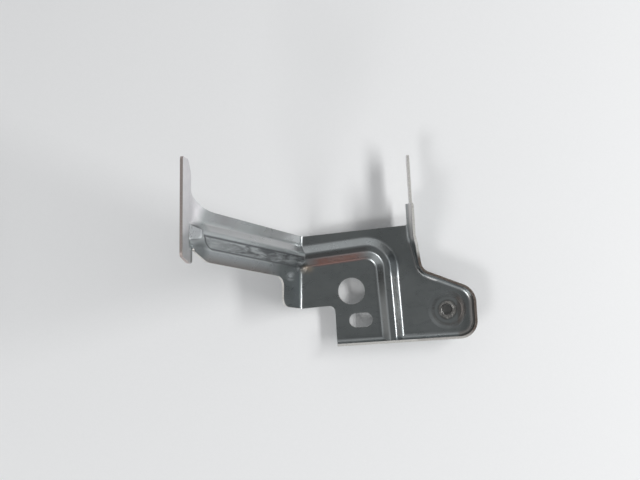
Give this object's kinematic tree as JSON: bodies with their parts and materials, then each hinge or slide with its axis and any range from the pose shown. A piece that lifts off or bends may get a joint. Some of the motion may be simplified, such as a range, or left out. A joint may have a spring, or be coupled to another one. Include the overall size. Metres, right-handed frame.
{
  "type": "stamped metal bracket",
  "caption": "Stamped sheet-steel bracket with a rimmed plate, a pressed bead, an angled arm that ends in an upright flange, a side tab, mounting holes and a weld nut on its back.",
  "frame": {"origin": "centre of the round hole, on the back of the main plate", "axes": "+Z along the round hole, out of the face of the plate and towards the side the arm rises on; +X along the bottom lip towards the weld nut; +Y towards the top edge and the side tab"},
  "size_m": [0.1607, 0.1109, 0.1072],
  "materials": {
    "sheet_steel": "bare cold-rolled steel, oiled, dark grey",
    "nut_steel": "bare steel, oiled, dark grey"
  },
  "bodies": {
    "root": {"bracket": "sheet_steel", "weld_nut": "nut_steel"}
  },
  "joints": []
}
